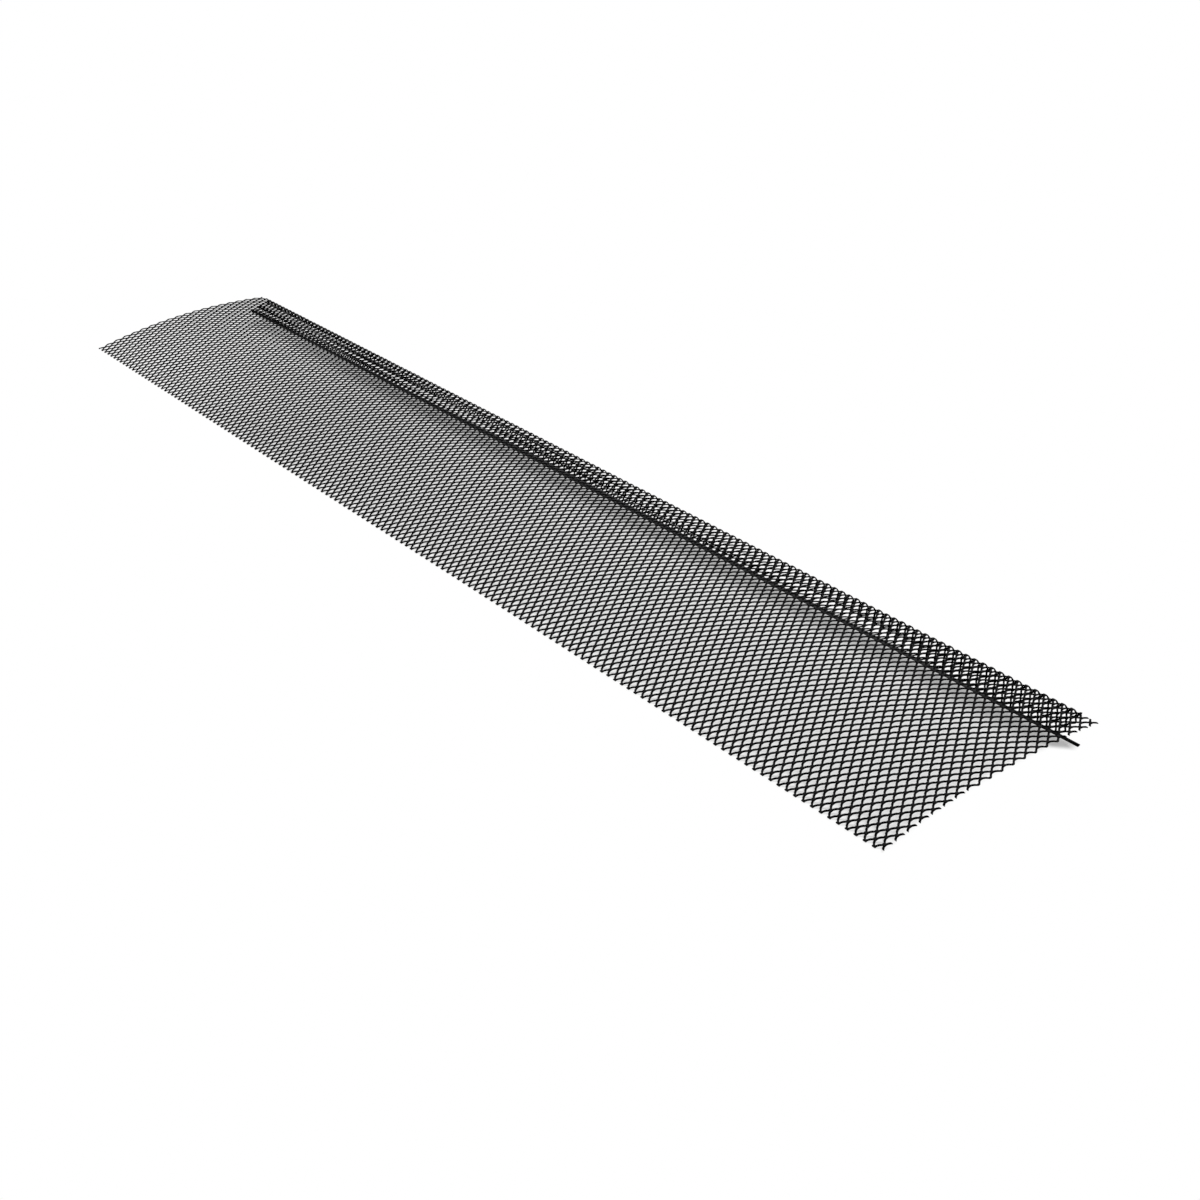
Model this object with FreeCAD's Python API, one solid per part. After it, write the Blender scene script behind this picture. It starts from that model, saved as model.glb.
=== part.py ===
"""Gutter guard: one length of expanded steel mesh, bowed across its width and folded under
along one long edge into a hook for the gutter's lip.

Millimetres. X runs along the guard, Y from the plain edge to the fold, Z up. The origin is on
the floor under the middle of the guard, which lies on its plain edge and on the hook's free edge.
"""
import FreeCAD
import Part
import os
from math import asin, atan2, cos, floor, hypot, pi, radians, sin

# Mesh: diamonds with their short way along the guard and their long way across it
SHORT_WAY = 6.1
LONG_WAY = 8.11
STRAND_WIDTH = 1.0
SHEET_THICKNESS = 0.6

# Diamonds along the guard and across the panel, and half diamonds across the hook behind the fold
DIAMONDS_LONG = 150
DIAMONDS_PANEL = 19
HALVES_HOOK = 3

# Solid strip that the slits leave along the hook's free edge
RIM_WIDTH = 4.4

# Bow of the panel, its slope at the plain edge, and the fold's radius at mid thickness
BOW_RADIUS = 456.0
EDGE_SLOPE = radians(12.3)
FOLD_RADIUS = 1.5

# Slices of the one sheet, each with fewer than about 400 crossings
PANEL_BAYS = 10
HOOK_BAYS = 2
DIAMONDS_FRONT = 10

# Lattice values that follow: one row is half a diamond, and TIP is a share of a row
ROW = LONG_WAY / 2
STRAND_LENGTH = hypot(SHORT_WAY / 2, ROW)
HALF_BOND = STRAND_WIDTH / 2 * STRAND_LENGTH / ROW
TIP = STRAND_WIDTH / 2 * STRAND_LENGTH / (SHORT_WAY / 2) / ROW
GUARD_LENGTH = DIAMONDS_LONG * SHORT_WAY

# Rows of crossings, numbered from the plain edge
SPLIT_ROW = 2 * DIAMONDS_FRONT
FOLD_ROW = 2 * DIAMONDS_PANEL
HOOK_ROW = FOLD_ROW + 1
LAST_ROW = HOOK_ROW + HALVES_HOOK
RIM_ROW = LAST_ROW + TIP
FREE_ROW = RIM_ROW + RIM_WIDTH / ROW


def section():
    """Outer and inner side of the sheet as (y, z) at each station across it, keyed by row."""
    outer, inner = {}, {}

    # Bowed panel, from the stubs of its cut edge to the fold
    for row in (-TIP, *range(FOLD_ROW + 1)):
        slope = EDGE_SLOPE - row * ROW / BOW_RADIUS
        y = BOW_RADIUS * (sin(EDGE_SLOPE) - sin(slope))
        z = BOW_RADIUS * (cos(slope) - cos(EDGE_SLOPE))
        outer[row] = (y, z)
        inner[row] = (y, z - SHEET_THICKNESS)
    floor_z = inner[-TIP][1]

    # The hook drops from the fold until the lower corner of its free edge is on the floor
    radii = (FOLD_RADIUS + SHEET_THICKNESS / 2, FOLD_RADIUS - SHEET_THICKNESS / 2)
    centre_y = y - radii[0] * -sin(slope)
    centre_z = z - radii[0] * cos(slope)
    hook_length = (FREE_ROW - HOOK_ROW) * ROW
    reach = hypot(radii[0], hook_length)
    hook_slope = asin((centre_z - floor_z) / reach) - atan2(radii[0], hook_length)
    turn = pi + slope - hook_slope

    for side, radius in zip((outer, inner), radii):
        for share in (TIP, 0.5, 1 - TIP, 1):
            angle = pi / 2 + slope - share * turn
            side[FOLD_ROW + share] = (centre_y + radius * cos(angle), centre_z + radius * sin(angle))
        y, z = side[HOOK_ROW]
        for row in (*range(HOOK_ROW + 1, LAST_ROW + 1), RIM_ROW, FREE_ROW):
            run = (row - HOOK_ROW) * ROW
            side[row] = (y - run * cos(hook_slope), z - run * sin(hook_slope))

    # Origin on the floor, half way across
    ys = [y for side in (outer, inner) for y, z in side.values()]
    middle = (min(ys) + max(ys)) / 2
    for side in (outer, inner):
        for row, (y, z) in side.items():
            side[row] = (y - middle, z - floor_z)
    return outer, inner


OUTER, INNER = section()


def half_hole(row, centre_row):
    """Half the width along the guard, at a row, of the diamonds centred on another row."""
    return max(0.0, (SHORT_WAY / 2 - HALF_BOND) * (1 - abs(row - centre_row) / (1 - TIP)))


def crossings(row, length):
    """X of a row's crossings: on both ends of a bay in even rows, half a diamond in in odd rows."""
    count = round(length / SHORT_WAY)
    if row % 2 == 0:
        return [i * SHORT_WAY for i in range(count + 1)]
    return [(i + 0.5) * SHORT_WAY for i in range(count)]


def zigzag_edge(row, tip_row, length):
    """One edge of a whole row: along each crossing, then to the tip of the diamond beside it."""
    points = []
    for x in crossings(row, length):
        if x >= SHORT_WAY / 2:
            points.append((x - SHORT_WAY / 2, tip_row))
        points.append((max(0.0, x - HALF_BOND), row))
        points.append((min(length, x + HALF_BOND), row))
    if x < length:
        points.append((length, tip_row))
    return points


def crossing_outlines(row, band, length):
    """Pieces of a band that hold one crossing each, beside its row."""
    near, far = band if band[0] == row else band[::-1]
    reach = SHORT_WAY / 2 - half_hole(far, row)
    outlines = []
    for x in crossings(row, length):
        points = [(max(0.0, x - HALF_BOND), near), (min(length, x + HALF_BOND), near)]
        points.append((min(length, x + reach), far))
        if 0 < x < length and -TIP < far < RIM_ROW:
            points.append((x, far))
        points.append((max(0.0, x - reach), far))
        outlines.append(points)
    return outlines


def strand_outlines(row, band, length):
    """Pieces of a band that hold one strand each, between two rows of crossings."""
    outlines = []
    for x in crossings(row, length):
        for way in (-1, 1):
            if 0 <= x + way * SHORT_WAY / 2 <= length:
                inside = [(x + way * half_hole(level, row + 1), level) for level in band]
                outside = [(x + way * (SHORT_WAY / 2 - half_hole(level, row)), level) for level in band]
                outlines.append(inside + outside[::-1])
    return outlines


def rim_outline(band, length):
    """The solid strip, with corners on its inner edge where each crossing of the last row joins it."""
    reach = SHORT_WAY / 2 - half_hole(band[0], LAST_ROW)
    points = [(0.0, band[1])]
    for x in crossings(LAST_ROW, length):
        points.append((max(0.0, x - reach), band[0]))
        points.append((min(length, x + reach), band[0]))
    points.append((length, band[1]))
    return points


def band_outlines(band, length):
    """Outlines, as (x, row), of the metal in the band between two neighbouring stations."""
    low, high = band
    if low >= RIM_ROW:
        return [rim_outline(band, length)]
    row = floor(low)
    if (low, high) == (row, row + 1):
        lower = zigzag_edge(row, row + 1 - TIP, length)
        upper = zigzag_edge(row + 1, row + TIP, length)
        return [lower + upper[::-1]]
    if high <= row + TIP:
        return crossing_outlines(row, band, length)
    if low >= row + 1 - TIP:
        return crossing_outlines(row + 1, band, length)
    return strand_outlines(row, band, length)


def on_side(side, point, band):
    """Place of an outline's point on the outer or inner side of the sheet."""
    x, row = point
    share = (row - band[0]) / (band[1] - band[0])
    (y0, z0), (y1, z1) = side[band[0]], side[band[1]]
    return FreeCAD.Vector(x, y0 + share * (y1 - y0), z0 + share * (z1 - z0))


def flat_face(points):
    return Part.Face(Part.makePolygon([*points, points[0]]))


def wall_faces(a, b, c, d):
    """Wall through the thickness: one flat face, or two where the sheet bends and it twists."""
    off_plane = abs((b - a).cross(d - a).dot(c - a))
    if off_plane < 1e-9:
        return [flat_face([a, b, c, d])]
    return [flat_face([a, b, c]), flat_face([a, c, d])]


def mesh_bay(first, last, length):
    """One solid slice of the sheet between two stations, from x = 0 to its length."""
    stations = sorted(row for row in OUTER if first <= row <= last)
    faces = []
    for band in zip(stations, stations[1:]):
        for outline in band_outlines(band, length):
            outer = [on_side(OUTER, point, band) for point in outline]
            inner = [on_side(INNER, point, band) for point in outline]
            faces += [flat_face(outer), flat_face(inner)]
            for i, (x, row) in enumerate(outline):
                j = (i + 1) % len(outline)
                along_crease = row == outline[j][1] and first < row < last
                joined = along_crease and abs(outline[j][0] - x) < SHORT_WAY / 2
                if not joined:
                    faces += wall_faces(outer[i], outer[j], inner[j], inner[i])
    shell = Part.makeShell(faces)
    shell.sewShape()
    solid = Part.makeSolid(shell.Shells[0])
    solid.fix(1e-5, 1e-5, 1e-5)
    return solid


def export_bays(name, first, last, bays):
    """Slice a strip of the sheet into like bays along the guard, end to end."""
    length = GUARD_LENGTH / bays
    bay = mesh_bay(first, last, length)
    for i in range(bays):
        moved = bay.copy()
        moved.translate(FreeCAD.Vector(i * length - GUARD_LENGTH / 2, 0, 0))
        moved.exportStep(f"parts/{name}_{i + 1}.step")


os.makedirs("parts", exist_ok=True)
export_bays("panel_front", -TIP, SPLIT_ROW, PANEL_BAYS)
export_bays("panel_rear", SPLIT_ROW, FOLD_ROW, PANEL_BAYS)
export_bays("hook", FOLD_ROW, FREE_ROW, HOOK_BAYS)
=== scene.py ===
import random
from collections import namedtuple
from math import asin, atan2, cos, hypot, pi, radians, sin, sqrt

import bpy
from mathutils import Matrix, Vector


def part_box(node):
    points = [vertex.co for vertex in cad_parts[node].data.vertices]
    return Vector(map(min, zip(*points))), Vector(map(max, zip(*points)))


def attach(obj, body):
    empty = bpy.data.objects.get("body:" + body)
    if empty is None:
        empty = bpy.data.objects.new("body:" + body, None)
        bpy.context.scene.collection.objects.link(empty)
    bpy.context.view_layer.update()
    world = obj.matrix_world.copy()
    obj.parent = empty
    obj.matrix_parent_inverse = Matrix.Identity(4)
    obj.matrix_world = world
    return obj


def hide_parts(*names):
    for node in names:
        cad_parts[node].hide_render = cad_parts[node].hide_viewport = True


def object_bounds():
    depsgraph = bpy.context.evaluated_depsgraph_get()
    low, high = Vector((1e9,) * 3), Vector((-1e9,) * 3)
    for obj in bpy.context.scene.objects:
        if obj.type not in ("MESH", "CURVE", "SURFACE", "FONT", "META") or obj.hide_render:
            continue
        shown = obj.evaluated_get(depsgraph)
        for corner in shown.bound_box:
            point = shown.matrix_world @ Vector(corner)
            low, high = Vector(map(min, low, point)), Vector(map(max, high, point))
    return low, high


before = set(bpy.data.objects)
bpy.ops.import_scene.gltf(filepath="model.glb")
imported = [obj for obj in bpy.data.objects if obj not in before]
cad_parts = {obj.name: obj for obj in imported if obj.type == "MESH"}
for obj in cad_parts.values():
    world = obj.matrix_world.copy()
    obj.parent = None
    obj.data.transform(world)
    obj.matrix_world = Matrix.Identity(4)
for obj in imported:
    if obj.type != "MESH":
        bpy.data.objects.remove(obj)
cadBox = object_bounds()
print("frame loaded:", len(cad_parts), "nodes")

# expanded mesh, in metres: strands zigzag across the guard, joined at bonds to the left and right in turn
sheet = {
    "shortWay": 0.0061,       # one diamond along the guard
    "longWay": 0.00811,       # one diamond across it
    "strandWidth": 0.00113,
    "hookWidth": 0.00103,     # strands of the hook, drawn a little thinner
    "gauge": 0.00078,         # steel and its coat
    "bondLength": 0.0012,     # where two strands stay joined
    "toothCurve": 1.6,        # over 1 rounds the left corner of each hole, as the press's tooth does
    "lean": 0.04,             # strands slope this much towards one end
    "sideShare": 0.52,        # height of a strand's rounded side
    "freeShares": (0.2, 0.5, 0.8),  # places of a strand's rings between two bonds
    "wander": 0.00004,        # how far a bond strays from the lattice
    "seed": 7,
    "panelRows": 38,          # half diamonds from the plain edge to the fold
    "hookRows": 3,            # half diamonds from the fold to the last bonds
    "edgeStub": 0.00035,      # strands left past the first bonds by the shears
    "panelPitches": 30,       # diamonds along one piece of the panel, and of the hook
    "hookPitches": 75,
    "leftSheen": (0.12, 0, 0, 0, 0, 0.12),       # painted highlight on the bonds' tops: how grey the coat is drawn round a strand joined on its left,
    "rightSheen": (0.12, 0.12, 0, 0, 0, 0.084),  # and on its right, in the order of strandRing
}

# solid strip along the hook's free edge
rim = {
    "gap": 0.0010,            # from the last bonds to its inner edge
    "width": 0.0042,
    "taper": 0.0022,          # width that it loses towards its ends
    "grip": 0.0004,           # how far the strands run into it
    "cornerShare": 0.6,       # rolled corners, as a share of half the gauge
    "short": 1,               # pitches that it lost at the left end
    "tone": 0.82,             # painted reflection: how grey its coat is drawn, for the sky that its flat face would mirror
    "fade": 14,               # pitches over which that painted reflection goes back to black at its ends
}

rowLength = sheet["longWay"] / 2
halfBond = sheet["bondLength"] / 2
freeLength = rowLength - sheet["bondLength"]
halfGauge = sheet["gauge"] / 2
guardLength = cadBox[1][0] - cadBox[0][0]
pitchCount = round(guardLength / sheet["shortWay"])
lastRibbon = 2 * pitchCount - 1
foldRow = sheet["panelRows"]
hookRow = foldRow + 1
lastRow = hookRow + sheet["hookRows"]
freeEdge = lastRow * rowLength + rim["gap"] + rim["width"]

# bow of the panel and the fold behind it, at mid gauge
bend = {
    "bowRadius": 0.456,
    "edgeSlope": radians(12.3),  # of the panel at its plain edge
    "foldRadius": 0.0015,
}


def makeSection():
    bowRadius, edgeSlope, foldRadius = bend["bowRadius"], bend["edgeSlope"], bend["foldRadius"]
    foldAt = foldRow * rowLength
    foldSlope = edgeSlope - foldAt / bowRadius
    foldY = bowRadius * (sin(edgeSlope) - sin(foldSlope))
    foldZ = bowRadius * (cos(foldSlope) - cos(edgeSlope))
    centreY = foldY + foldRadius * sin(foldSlope)
    centreZ = foldZ - foldRadius * cos(foldSlope)

    # the hook drops until its free edge is level with the plain edge
    hookLength = freeEdge - hookRow * rowLength
    reach = hypot(foldRadius, hookLength)
    hookSlope = asin(centreZ / reach) - atan2(foldRadius, hookLength)
    turn = pi + foldSlope - hookSlope

    def place(across):
        if across <= foldAt:                      # bowed panel
            slope = edgeSlope - across / bowRadius
            y = bowRadius * (sin(edgeSlope) - sin(slope))
            z = bowRadius * (cos(slope) - cos(edgeSlope))
            return y, z, -sin(slope), cos(slope)
        share = min(1.0, (across - foldAt) / rowLength)
        angle = pi / 2 + foldSlope - share * turn  # round the fold
        normalY, normalZ = cos(angle), sin(angle)
        run = max(0.0, across - foldAt - rowLength)
        y = centreY + foldRadius * normalY - run * cos(hookSlope)
        z = centreZ + foldRadius * normalZ - run * sin(hookSlope)
        return y, z, normalY, normalZ

    return place


placeAcross = makeSection()


def sheetPoint(x, across, height):
    y, z, normalY, normalZ = placeAcross(across)
    return (x - guardLength / 2, y + height * normalY, z + height * normalZ)


# place of a ring: distance across the sheet, row of bonds, share of the way to the next row, bond or not
Station = namedtuple("Station", "across row share bond")


def makeStations():
    made = []
    for row in range(lastRow + 1):
        at = row * rowLength
        low = sheet["edgeStub"] if row == 0 else halfBond
        made += [Station(at - low, row, 0.0, True), Station(at + halfBond, row, 0.0, True)]
        if row < lastRow:
            made += [Station(at + halfBond + s * freeLength, row, s, False) for s in sheet["freeShares"]]
    made.append(Station(freeEdge, lastRow, 0.0, False))  # each strand takes rimStation in its place
    return made


stations = makeStations()
print("stations across the sheet:", len(stations))


def rimWidthAt(pitch):
    return rim["width"] - rim["taper"] * abs(2 * pitch / pitchCount - 1)


def rimStation(ribbon):
    # where one strand ends inside the rim
    across = freeEdge - rimWidthAt(ribbon / 2) + rim["grip"]
    share = (across - lastRow * rowLength - halfBond) / freeLength
    return Station(across, lastRow, min(1.0, share), False)


def joinsLeft(ribbon, row):
    # whether a strand's bond in a row is the one with its left neighbour
    return row % 2 == ribbon % 2


strays = random.Random(sheet["seed"])
bondStray = {}


def strayAt(ribbon, row):
    # a bond's small error in place and height, the same for the two strands that it joins
    key = (ribbon if joinsLeft(ribbon, row) else ribbon + 1, row)
    if key not in bondStray:
        bondStray[key] = (strays.gauss(0, sheet["wander"]), strays.gauss(0, sheet["wander"]))
    return bondStray[key]


rightTop, rightBottom, leftBottom, leftTop = 1, 2, 4, 5  # corners in a strand's ring, where bonds join


def strandRing(ribbon, station):
    # six points round a strand as (x, distance across, height off the sheet), from its top rightwards
    across, row, share, bond = station
    halfPitch = sheet["shortWay"] / 2
    width = sheet["hookWidth"] if row > foldRow else sheet["strandWidth"]
    swing = halfPitch - width
    curve = sheet["toothCurve"]
    away = abs((row + ribbon) % 2 - share)        # 0 at the bond on its left, 1 at the one on its right
    sway = away ** curve
    steep = 0.0 if bond else curve * away ** (curve - 1) / freeLength
    (strayX, strayZ), (nextX, nextZ) = strayAt(ribbon, row), strayAt(ribbon, row + 1)
    x = ribbon * halfPitch + width / 2 + sway * swing + (1 - share) * strayX + share * nextX
    height = (sway - 0.5) * sheet["lean"] * width + (1 - share) * strayZ + share * nextZ
    half = width / 2 * sqrt(1 + (steep * swing) ** 2)
    left = right = halfGauge * sheet["sideShare"]
    if bond and joinsLeft(ribbon, row):           # joined side stays full height
        left = halfGauge
    elif bond:
        right = halfGauge
    ring = [(0, halfGauge), (half, right), (half, -right), (0, -halfGauge), (-half, -left), (-half, left)]
    return [(x + dx, across, height + dz - sheet["lean"] * dx) for dx, dz in ring]


# what the shears took off the ends
shears = {
    "shornRows": ((0, 14), (32, 43)),  # rows where the right end lost its last loops
    "hookShort": (2, 4),               # strands that the fold and hook lost at the left and right end
}


def isShorn(ribbon, station):
    fromLeft, fromRight = shears["hookShort"]
    if station.row >= foldRow and not fromLeft <= ribbon <= lastRibbon - fromRight:
        return True
    loop = ribbon == lastRibbon and station.bond and station.row % 2 == 0
    return loop and any(first <= station.row <= last for first, last in shears["shornRows"])


def strandFaces(ribbon, rings, before, hasNext):
    # sides of one strand, and a cap wherever it is cut, with no wall inside a bond
    faces = []
    for at, ring in rings.items():
        if at + 1 not in rings:
            faces.append(tuple(ring))
            continue
        if at - 1 not in rings:
            faces.append(tuple(reversed(ring)))
        station = stations[at]
        if joinsLeft(ribbon, station.row):
            inside, joined = leftBottom, (at, leftBottom) in before
        else:
            inside, joined = rightTop, hasNext and not isShorn(ribbon + 1, station)
        hidden = joined and station.bond and stations[at + 1].bond
        following = rings[at + 1]
        for corner in range(len(ring)):
            if hidden and corner == inside:
                continue
            after = (corner + 1) % len(ring)
            faces.append((ring[corner], ring[after], following[after], following[corner]))
    return faces


def addPiece(name, points, faces, paintedSheen):
    mesh = bpy.data.meshes.new(name)
    mesh.from_pydata(points, [], faces)
    mesh.attributes.new("paintedSheen", "FLOAT", "POINT").data.foreach_set("value", paintedSheen)
    mesh.shade_smooth()
    mesh.update()
    piece = bpy.data.objects.new(name, mesh)
    bpy.context.scene.collection.objects.link(piece)
    return piece


def buildMesh(name, ribbons, firstStation, endStation):
    points, faces, paintedSheen = [], [], []
    before = {}                                   # joined points of the strand to the left
    for ribbon in ribbons:
        rings, joined = {}, {}
        for at in range(firstStation, endStation):
            station = stations[at] if at + 1 < len(stations) else rimStation(ribbon)
            if isShorn(ribbon, station):
                continue
            onLeft = station.bond and joinsLeft(ribbon, station.row)
            tones = sheet["leftSheen"] if onLeft else sheet["rightSheen"]
            ring = []
            for corner, place in enumerate(strandRing(ribbon, station)):
                if onLeft and (at, corner) in before:
                    ring.append(before[at, corner])
                    continue
                ring.append(len(points))
                points.append(sheetPoint(*place))
                # painted highlight: grey only on the top corners of each bond, for the light its top face
                # catches
                paintedSheen.append(tones[corner] if station.bond else 0.0)
            if station.bond and not onLeft:
                joined[at, leftTop], joined[at, leftBottom] = ring[rightTop], ring[rightBottom]
            rings[at] = ring
        faces += strandFaces(ribbon, rings, before, ribbon + 1 in ribbons)
        before = joined
    return addPiece(name, points, faces, paintedSheen)


def rimOutline(width):
    roll = halfGauge * rim["cornerShare"]
    upper = [(0, halfGauge - roll), (roll, halfGauge), (width / 2, halfGauge)]
    upper += [(width - roll, halfGauge), (width, halfGauge - roll)]
    return upper + [(run, -height) for run, height in reversed(upper)]


def buildRim(name, firstPitch, lastPitch):
    points, faces, paintedSheen = [], [], []
    for pitch in range(firstPitch, lastPitch + 1):
        width = rimWidthAt(pitch)
        outline = rimOutline(width)
        count, start = len(outline), len(points)
        wave = strayAt(2 * pitch, lastRow)[1]
        for run, height in outline:
            points.append(sheetPoint(pitch * sheet["shortWay"], freeEdge - width + run, height + wave))
        # painted reflection: the rim is drawn greyer, fading back to black towards its ends
        fromEnd = min(pitch, pitchCount - pitch) / rim["fade"]
        paintedSheen += [rim["tone"] * min(1.0, fromEnd)] * count
        if pitch > firstPitch:
            earlier = start - count
            for i in range(count):
                j = (i + 1) % count
                faces.append((earlier + i, start + i, start + j, earlier + j))
    faces.append(tuple(range(count)))
    faces.append(tuple(reversed(range(start, len(points)))))
    return addPiece(name, points, faces, paintedSheen)


def settle(pieces):
    # the guard rests on the floor, half way across the CAD's box
    low = min(v.co.z for piece in pieces for v in piece.data.vertices)
    ys = [v.co.y for piece in pieces for v in piece.data.vertices]
    shift = Vector((0, (cadBox[0][1] + cadBox[1][1]) / 2 - (min(ys) + max(ys)) / 2, -low))
    for piece in pieces:
        piece.data.transform(Matrix.Translation(shift))


# the panel and the hook share the last ring of the fold's bonds
foldEnd = max(at for at, station in enumerate(stations) if station.bond and station.row == foldRow)
panelPieces, hookPieces, rimPieces = [], [], []
for first in range(0, pitchCount, sheet["panelPitches"]):
    last = min(pitchCount, first + sheet["panelPitches"])
    name = "panelMesh%d" % (len(panelPieces) + 1)
    panelPieces.append(buildMesh(name, range(2 * first, 2 * last), 0, foldEnd + 1))
for first in range(0, pitchCount, sheet["hookPitches"]):
    last = min(pitchCount, first + sheet["hookPitches"])
    number = len(hookPieces) + 1
    hookPieces.append(buildMesh("hookMesh%d" % number, range(2 * first, 2 * last), foldEnd, len(stations)))
    rimPieces.append(buildRim("hookRim%d" % number, first or rim["short"], last))
meshPieces = panelPieces + hookPieces + rimPieces
settle(meshPieces)
print("mesh pieces:", len(meshPieces), "faces:", sum(len(p.data.polygons) for p in meshPieces))


class Socket:
    # one output of a node, with the arithmetic that the finishes need
    def __init__(self, nodes, link):
        self.nodes, self.link = nodes, link

    def maths(self, operation, a, b):
        return self.nodes.add("ShaderNodeMath", {"operation": operation}, {0: a, 1: b})

    def __add__(self, other):
        return self.maths("ADD", self, other)

    def __mul__(self, other):
        return self.maths("MULTIPLY", self, other)

    def __or__(self, other):                      # the larger of the two
        return self.maths("MAXIMUM", self, other)

    def __sub__(self, other):
        return self.maths("SUBTRACT", self, other)

    def __rsub__(self, other):
        return self.maths("SUBTRACT", other, self)

    __radd__ = __add__
    __rmul__ = __mul__
    __ror__ = __or__


class NodeTree:
    # the nodes of a material or of the world
    def __init__(self, owner):
        owner.use_nodes = True
        self.tree = owner.node_tree
        self.tree.nodes.clear()

    def add(self, kind, settings=None, sockets=None, out=0):
        made = self.tree.nodes.new(kind)
        for key, value in (settings or {}).items():
            setattr(made, key, value)
        for key, value in (sockets or {}).items():
            if isinstance(value, Socket):
                self.tree.links.new(value.link, made.inputs[key])
            else:
                made.inputs[key].default_value = value
        return Socket(self, made.outputs[out]) if made.outputs else None


def mixColours(nodes, share, first, second):
    # a Mix node's sockets for colours go by number, because their names repeat
    return nodes.add("ShaderNodeMix", {"data_type": "RGBA"}, {0: share, 6: first, 7: second}, out=2)


# satin black powder coat, greyer by a painted highlight on the bonds' tops and a painted reflection on the
# rim, and a little drier there
blackCoat = {
    "strand": (0.0020, 0.0020, 0.0022, 1),
    # grey of the painted highlight on the bonds and the painted reflection on the rim
    "grey": (0.095, 0.095, 0.097, 1),
    "cloudScale": 60.0,       # broad unevenness of tone and roughness
    "cloudDetail": 3.0,
    "cloudShare": 0.016,
    "roughness": 0.48,
    "roughnessSpread": 0.16,
    "greyRoughness": 0.2,     # added where the sheen is painted grey
    "specular": 0.004,        # low, so that the round strands stay black at their edges
    "grainScale": 2600.0,     # fine grain of the powder
    "grainDetail": 2.0,
    "grainHeight": 0.00002,
    "grainStrength": 0.35,
}


def blackCoatMaterial():
    material = bpy.data.materials.new("blackCoat")
    nodes = NodeTree(material)
    place = nodes.add("ShaderNodeTexCoord", out="Object")
    grey = nodes.add("ShaderNodeAttribute", {"attribute_name": "paintedSheen"}, out="Fac")
    noise, grain = (nodes.add("ShaderNodeTexNoise", None,
                              {"Vector": place, "Scale": blackCoat[kind + "Scale"],
                               "Detail": blackCoat[kind + "Detail"]})
                    for kind in ("cloud", "grain"))
    cloud = noise - 0.5                           # about zero
    # painted highlight and reflection from the sheen attribute, with a little random unevenness of tone
    tone = grey + cloud * blackCoat["cloudShare"]
    colour = mixColours(nodes, tone, blackCoat["strand"], blackCoat["grey"])
    rough = (blackCoat["roughness"] + cloud * blackCoat["roughnessSpread"]
             + grey * blackCoat["greyRoughness"])
    bump = nodes.add("ShaderNodeBump", None,
                     {"Strength": blackCoat["grainStrength"], "Distance": blackCoat["grainHeight"],
                      "Height": grain})
    shader = nodes.add("ShaderNodeBsdfPrincipled", None,
                       {"Base Color": colour, "Roughness": rough,
                        "Specular IOR Level": blackCoat["specular"], "Normal": bump})
    nodes.add("ShaderNodeOutputMaterial", None, {"Surface": shader})
    return material


coat = blackCoatMaterial()
for piece in meshPieces:
    piece.data.materials.append(coat)
    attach(piece, "root")


def standFor(pieces, pitches, prefix):
    # each piece stands for the CAD nodes in its stretch of the guard
    names = {piece: [] for piece in pieces}
    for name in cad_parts:
        if name.startswith(prefix):
            low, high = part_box(name)
            middle = (low[0] + high[0]) / 2 + guardLength / 2
            names[pieces[int(middle / (pitches * sheet["shortWay"]))]].append(name)
    for piece, found in names.items():
        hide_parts(*found)


standFor(panelPieces, sheet["panelPitches"], "panel")
standFor(hookPieces, sheet["hookPitches"], "hook")
print("coat on, CAD nodes replaced")

# matt pale floor, lifted to full white all round the guard, with a painted shadow of the hook before the
# rim
paleFloor = {
    "size": 12.0,
    "colour": (0.95, 0.95, 0.95, 1),
    "lift": 0.4,                  # share of full white under the guard
    "fade": (-0.006, 0.002),      # stretch over which that goes to all white, across the guard's outline
    "farSpan": (-0.16, -0.43),    # and along the guard, towards its left end,
    "farShare": 0.3,              # where the hook's shade is weaker by this share
    "rimShade": (0.036, 0.054),   # stretch before the rim where a painted shadow of the hook darkens the floor towards it
    "rimLift": 0.25,              # share of the lift that is left there, to deepen that painted shadow
    # floor colour there: a painted shadow
    "hookShadowColour": (0.58, 0.58, 0.58, 1),
    "rimLine": (0.057, 0.0618),   # stretch over which it goes to all white behind the rim
    "bowTop": 0.019,              # at the right end the white reaches in under the bow, most below its top
    "bowReach": 0.097,
    "bowShow": 0.0106,
    "hookSpan": (0.048, 0.056),   # stretch over which the hook ends that
    "leftShow": 0.030,            # how far the white reaches in at the left end
}


def seenAsBackdrop(nodes):
    # rays that show the white background: the camera's own, and mirrored or let-through ones
    camera, glossy, through = (nodes.add("ShaderNodeLightPath", out="Is %s Ray" % kind)
                               for kind in ("Camera", "Glossy", "Transmission"))
    return camera | glossy | through


def ramp(nodes, value, span, low=0.0, high=1.0, kind="SMOOTHSTEP"):
    # goes from low to high while the value crosses the span
    return nodes.add("ShaderNodeMapRange", {"interpolation_type": kind},
                     {"Value": value, "From Min": span[0], "From Max": span[1],
                      "To Min": low, "To Max": high})


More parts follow.
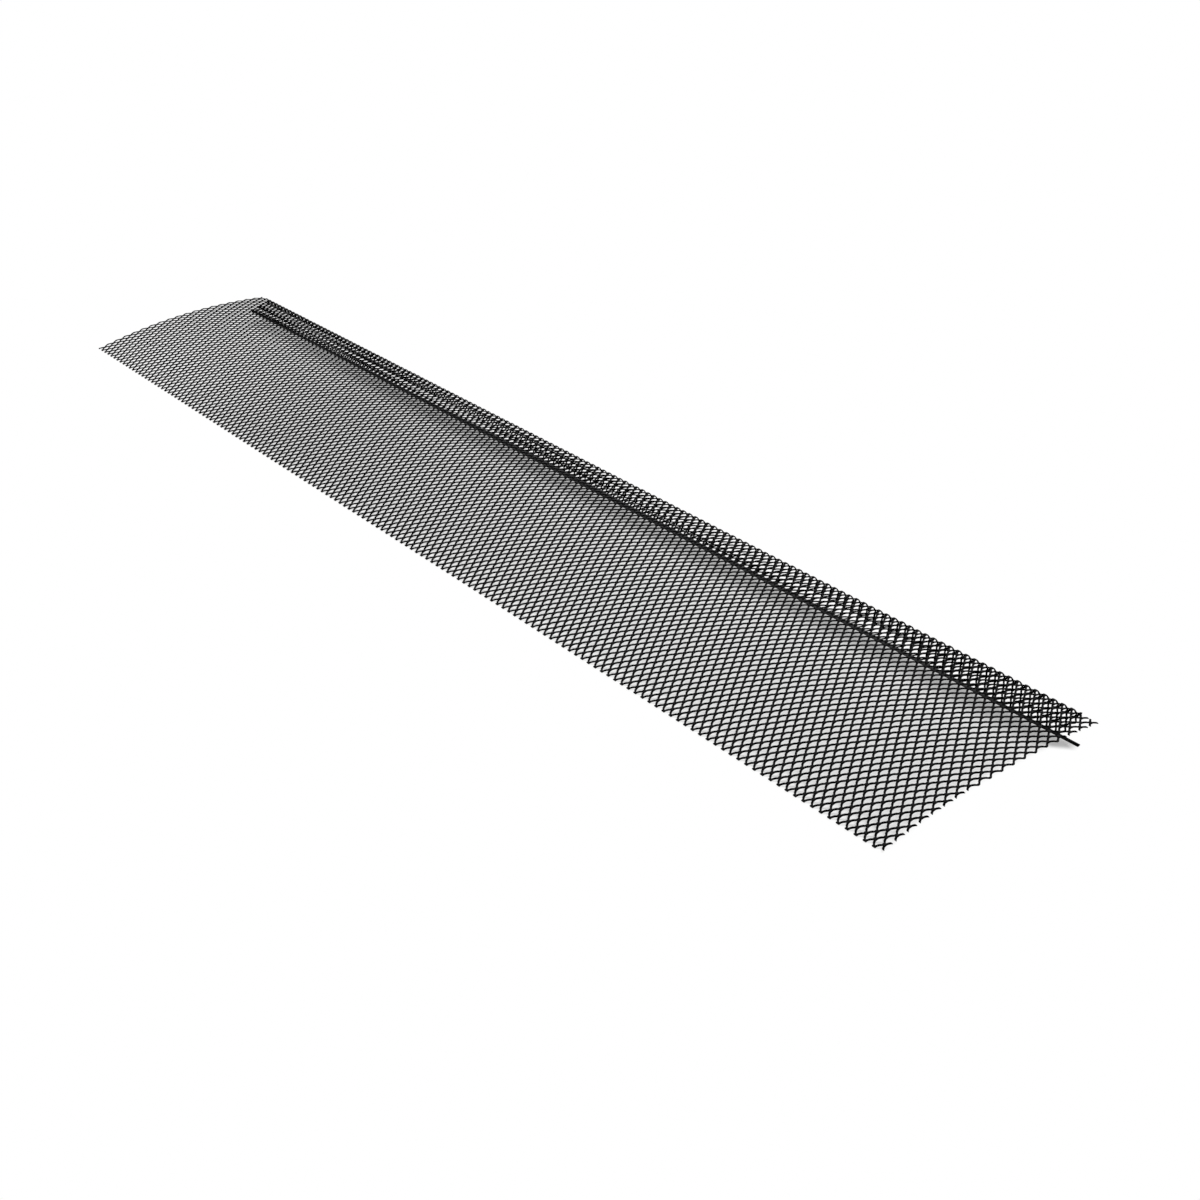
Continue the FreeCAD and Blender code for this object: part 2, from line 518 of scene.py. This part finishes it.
def paleFloorMaterial():
    material = bpy.data.materials.new("paleFloor")
    nodes = NodeTree(material)
    place = nodes.add("ShaderNodeTexCoord", out="Object")
    x, y = (nodes.add("ShaderNodeSeparateXYZ", None, {"Vector": place}, out=axis) for axis in "XY")

    # how far a place is outside the guard's outline
    fromTop = (y - paleFloor["bowTop"]) * (1 / paleFloor["bowReach"])
    underBow = ramp(nodes, y, paleFloor["hookSpan"], paleFloor["bowShow"], 0.0, "LINEAR")
    right = x + (1 - fromTop * fromTop) * underBow - guardLength / 2
    left = paleFloor["leftShow"] - guardLength / 2 - x
    front = cadBox[0][1] - y
    beyond = right | left | front

    far = ramp(nodes, x, paleFloor["farSpan"])
    # painted shadow of the hook before the rim: a darker floor colour and less lift, weaker towards the
    # left end
    hookShadowMask = ramp(nodes, y, paleFloor["rimShade"]) * (1 - far * paleFloor["farShare"])
    lift = paleFloor["lift"] + far * (1 - paleFloor["lift"])
    lift = lift * (1 - hookShadowMask * (1 - paleFloor["rimLift"]))
    fade = ramp(nodes, y, paleFloor["rimLine"], ramp(nodes, beyond, paleFloor["fade"], lift))
    colour = mixColours(nodes, hookShadowMask, paleFloor["colour"], paleFloor["hookShadowColour"])
    matt = nodes.add("ShaderNodeBsdfPrincipled", None,
                     {"Base Color": colour, "Roughness": 1.0, "Specular IOR Level": 0.0})
    white = nodes.add("ShaderNodeEmission")
    both = nodes.add("ShaderNodeMixShader", None, {0: seenAsBackdrop(nodes) * fade, 1: matt, 2: white})
    nodes.add("ShaderNodeOutputMaterial", None, {"Surface": both})
    return material


halfFloor = paleFloor["size"] / 2
floorCorners = [(x * halfFloor, y * halfFloor, 0) for x, y in ((-1, -1), (1, -1), (1, 1), (-1, 1))]
floorMesh = bpy.data.meshes.new("floor")
floorMesh.from_pydata(floorCorners, [], [(0, 1, 2, 3)])
floorMesh.materials.append(paleFloorMaterial())
floor = bpy.data.objects.new("floor", floorMesh)
bpy.context.scene.collection.objects.link(floor)

# white sky, and one large softbox behind the guard that is aimed at its middle
studio = {
    "sky": (1, 1, 1, 1),
    "skyLight": 0.4,
    "backdrop": 1.0,          # strength that shows as white
    "softbox": (-0.1, 1.6, 1.9),
    "softboxSize": 1.3,
    "softboxPower": 66.0,
}


def lightStudio():
    world = bpy.data.worlds.new("studio")
    nodes = NodeTree(world)
    light, shown = (nodes.add("ShaderNodeBackground", None,
                              {"Color": studio["sky"], "Strength": studio[strength]})
                    for strength in ("skyLight", "backdrop"))
    both = nodes.add("ShaderNodeMixShader", None, {0: seenAsBackdrop(nodes), 1: light, 2: shown})
    nodes.add("ShaderNodeOutputWorld", None, {"Surface": both})
    bpy.context.scene.world = world

    lamp = bpy.data.lights.new("softbox", "AREA")
    lamp.shape = "SQUARE"
    lamp.size = studio["softboxSize"]
    lamp.energy = studio["softboxPower"]
    softbox = bpy.data.objects.new("softbox", lamp)
    softbox.location = studio["softbox"]
    softbox.rotation_euler = (-softbox.location).to_track_quat("-Z", "Y").to_euler()
    bpy.context.scene.collection.objects.link(softbox)


lightStudio()

view = {
    "place": (0.94127, -0.57398, 0.51328),
    "aim": (0.17938, -0.03399, 0.0060),
    "roll": radians(-3.156),
    "lens": 54.216,           # millimetres
}
camera = bpy.data.objects.new("camera", bpy.data.cameras.new("camera"))
camera.data.lens = view["lens"]
direction = Vector(view["aim"]) - Vector(view["place"])
turn = direction.to_track_quat("-Z", "Y").to_matrix() @ Matrix.Rotation(view["roll"], 3, "Z")
camera.matrix_world = Matrix.Translation(view["place"]) @ turn.to_4x4()
bpy.context.scene.collection.objects.link(camera)
bpy.context.scene.camera = camera
bpy.context.scene.view_settings.view_transform = "Standard"
print("studio and camera set")
